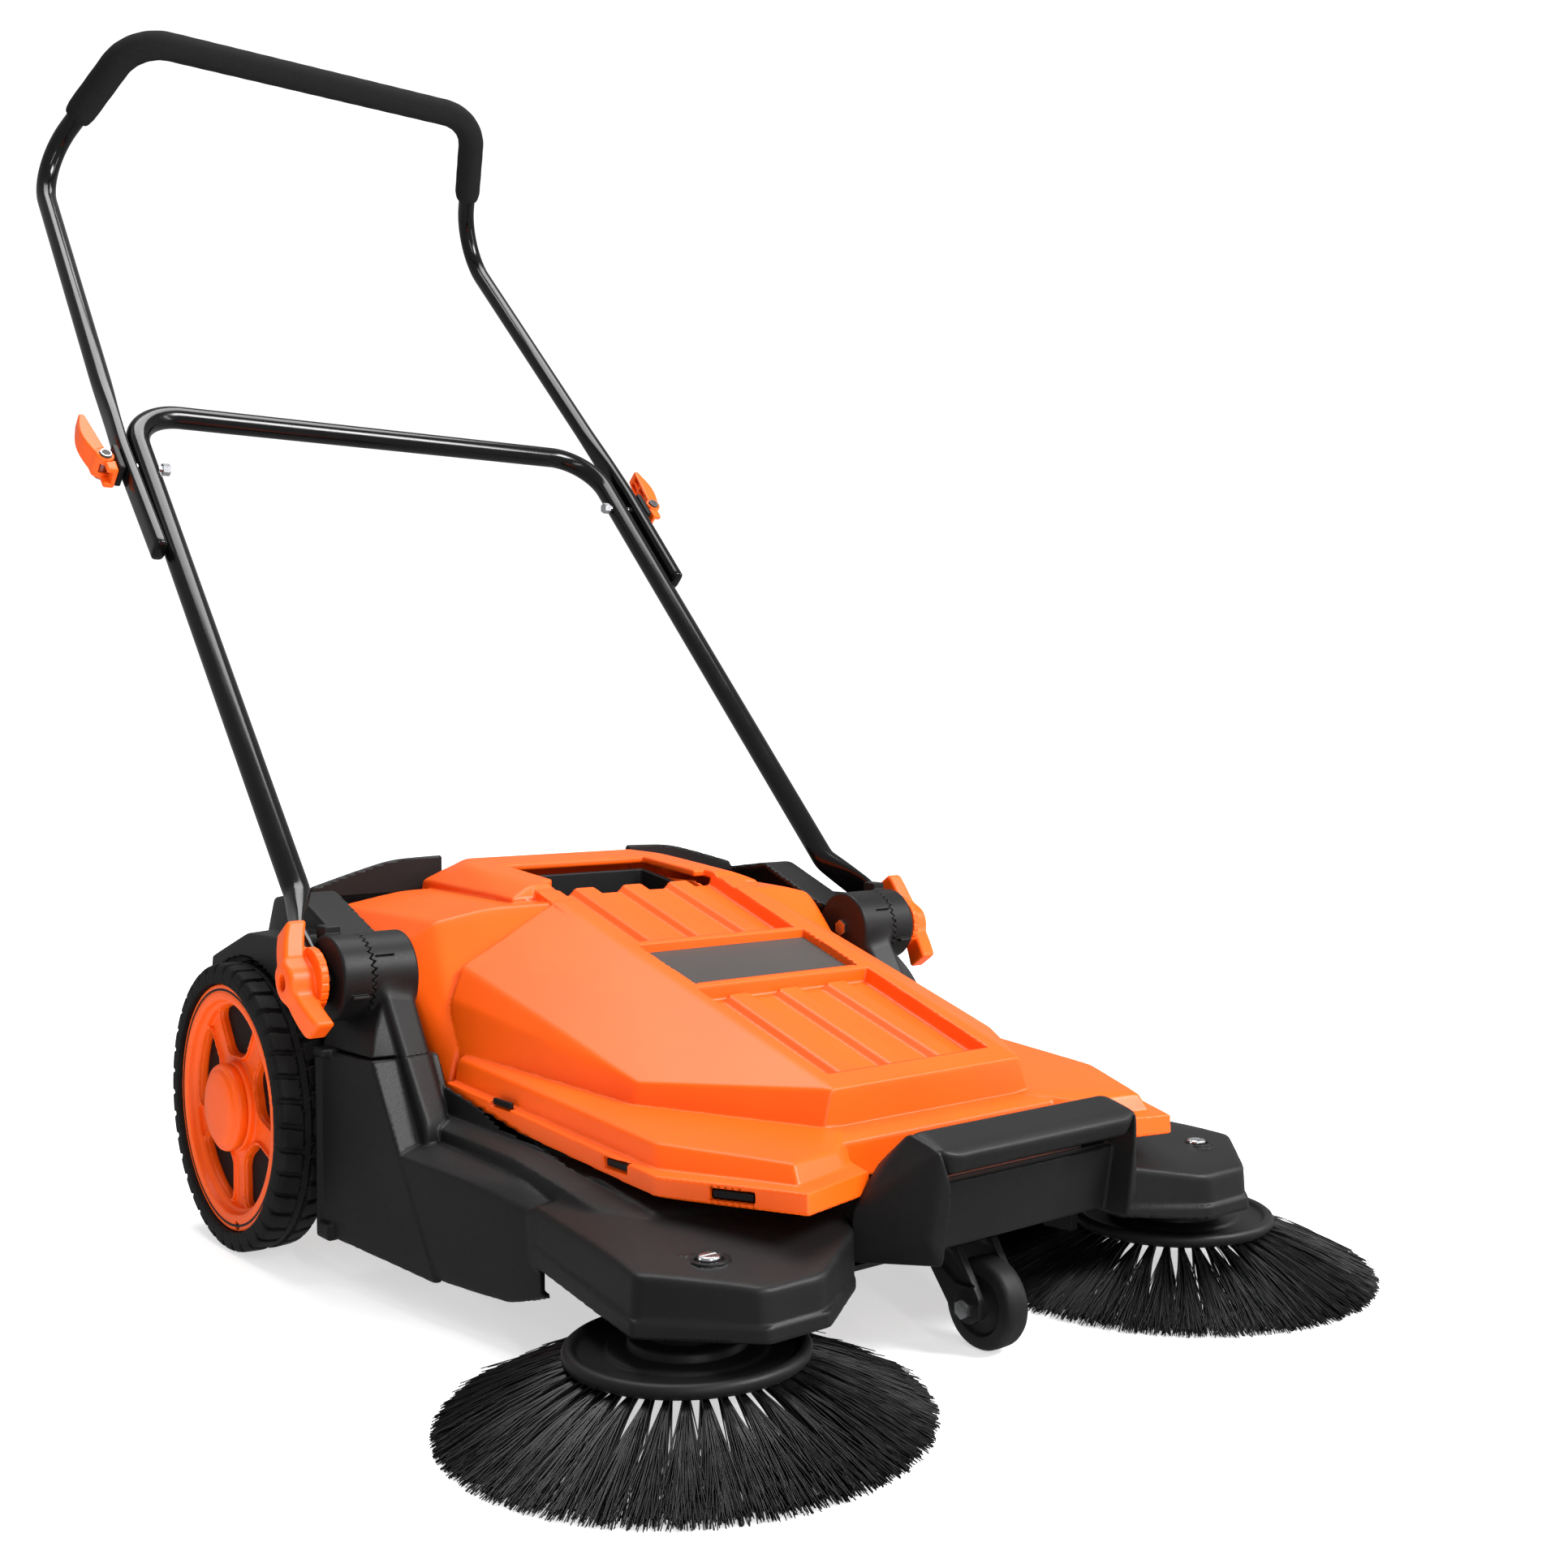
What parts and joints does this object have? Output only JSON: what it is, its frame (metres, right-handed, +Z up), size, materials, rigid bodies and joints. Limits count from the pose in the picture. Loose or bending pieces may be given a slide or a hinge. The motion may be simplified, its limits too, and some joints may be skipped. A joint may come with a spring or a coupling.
{
  "type": "walk-behind sweeper",
  "caption": "Push sweeper with disc brushes at the front, a lift-out orange hopper between two wheels, a front caster and a folding tube handle.",
  "frame": {"origin": "centre of the bounding box on the ground", "axes": "+Z up, -Y the way it is pushed, +X the operator's left"},
  "size_m": [0.92, 1.5542, 1.3727],
  "materials": {
    "orange_plastic": "semi-gloss moulded, bright orange",
    "black_plastic": "fine-textured moulded, charcoal black",
    "badge_plastic": "satin dark grey",
    "coated_tube": "gloss black powder coat",
    "grip_foam": "matte black closed-cell foam",
    "tyre_rubber": "matte black",
    "grey_rubber": "matte black",
    "belt_rubber": "matte black",
    "bristle_plastic": "nylon bristle, black",
    "zinc_steel": "bright zinc plate"
  },
  "bodies": {
    "chassis": {"chassis_shell": "black_plastic", "rear_cover": "black_plastic", "front_carry_handle": "black_plastic", "axle": "zinc_steel", "pod_screw_left": "zinc_steel", "pivot_bracket_left": "black_plastic", "pivot_bolt_left": "zinc_steel", "drive_belt_left": "belt_rubber", "pod_screw_right": "zinc_steel", "pivot_bracket_right": "black_plastic", "pivot_bolt_right": "zinc_steel", "drive_belt_right": "belt_rubber"},
    "wheel_left": {"tyre_left": "tyre_rubber", "wheel_rim_left": "orange_plastic", "hub_cap_left": "orange_plastic", "drive_pulley_left": "black_plastic"},
    "brush_left": {"brush_plate_left": "black_plastic", "brush_bristles_left": "bristle_plastic", "brush_spindle_left": "zinc_steel", "brush_pulley_left": "black_plastic"},
    "knob_left": {"wing_knob_left": "orange_plastic"},
    "lever_left": {"clamp_lever_left": "orange_plastic"},
    "wheel_right": {"tyre_right": "tyre_rubber", "wheel_rim_right": "orange_plastic", "hub_cap_right": "orange_plastic", "drive_pulley_right": "black_plastic"},
    "brush_right": {"brush_plate_right": "black_plastic", "brush_bristles_right": "bristle_plastic", "brush_spindle_right": "zinc_steel", "brush_pulley_right": "black_plastic"},
    "knob_right": {"wing_knob_right": "orange_plastic"},
    "lever_right": {"clamp_lever_right": "orange_plastic"},
    "caster_swivel": {"caster_fork": "black_plastic", "caster_bolt": "zinc_steel"},
    "caster_roller": {"caster_wheel": "grey_rubber"},
    "handle_lower": {"lower_cross_tube": "coated_tube", "lower_leg_left": "coated_tube", "outer_ratchet_left": "black_plastic", "clamp_bolt_left": "zinc_steel", "lower_leg_right": "coated_tube", "outer_ratchet_right": "black_plastic", "clamp_bolt_right": "zinc_steel"},
    "handle_upper": {"foam_grip": "grip_foam", "upper_leg_left": "coated_tube", "clamp_saddle_left": "black_plastic", "upper_leg_right": "coated_tube", "clamp_saddle_right": "black_plastic"},
    "hopper": {"hopper_lid": "orange_plastic", "hopper_tub": "black_plastic", "badge_plate": "badge_plastic"}
  },
  "joints": [
    {"name": "wheel_spin_left", "type": "hinge", "parent": "chassis", "child": "wheel_left", "pos_m": [0.3445, 0.0432, 0.1393], "axis": [1, 0, 0], "continuous": true},
    {"name": "brush_spin_left", "type": "hinge", "parent": "chassis", "child": "brush_left", "pos_m": [0.2745, -0.5915, 0.06], "axis": [0, 0, 1], "continuous": true},
    {"name": "wheel_spin_right", "type": "hinge", "parent": "chassis", "child": "wheel_right", "pos_m": [-0.3445, 0.0432, 0.1393], "axis": [1, 0, 0], "continuous": true},
    {"name": "brush_spin_right", "type": "hinge", "parent": "chassis", "child": "brush_right", "pos_m": [-0.2745, -0.5915, 0.06], "axis": [0, 0, 1], "continuous": true},
    {"name": "caster_turn", "type": "hinge", "parent": "chassis", "child": "caster_swivel", "pos_m": [0, -0.5788, 0.11], "axis": [0, 0, 1], "continuous": true},
    {"name": "caster_roll", "type": "hinge", "parent": "caster_swivel", "child": "caster_roller", "pos_m": [0, -0.6248, 0.0375], "axis": [1, 0, 0], "continuous": true},
    {"name": "handle_tilt", "type": "hinge", "parent": "chassis", "child": "handle_lower", "pos_m": [0, -0.1268, 0.28], "axis": [1, 0, 0], "range_deg": [0, 130]},
    {"name": "grip_fold", "type": "hinge", "parent": "handle_lower", "child": "handle_upper", "pos_m": [0, 0.3872, 0.794], "axis": [1, 0, 0], "range_deg": [-120, 0]},
    {"name": "clamp_open_left", "type": "hinge", "parent": "handle_lower", "child": "lever_left", "pos_m": [0.3609, 0.3872, 0.794], "axis": [0, 0.7295, -0.684], "range_deg": [0, 95]},
    {"name": "clamp_open_right", "type": "hinge", "parent": "handle_lower", "child": "lever_right", "pos_m": [-0.3609, 0.3872, 0.794], "axis": [0, -0.7295, 0.684], "range_deg": [0, 95]},
    {"name": "knob_turn_left", "type": "hinge", "parent": "chassis", "child": "knob_left", "pos_m": [0.365, -0.1268, 0.28], "axis": [1, 0, 0], "range_deg": [-180, 180]},
    {"name": "knob_turn_right", "type": "hinge", "parent": "chassis", "child": "knob_right", "pos_m": [-0.365, -0.1268, 0.28], "axis": [-1, 0, 0], "range_deg": [-180, 180]},
    {"name": "hopper_lift", "type": "slide", "parent": "chassis", "child": "hopper", "axis": [0, 0, 1], "range_m": [0, 0.3]}
  ],
  "couplings": [
    {"joint": "brush_spin_left", "follows": "wheel_spin_left", "ratio": -2.2326},
    {"joint": "brush_spin_right", "follows": "wheel_spin_right", "ratio": 2.2326}
  ]
}
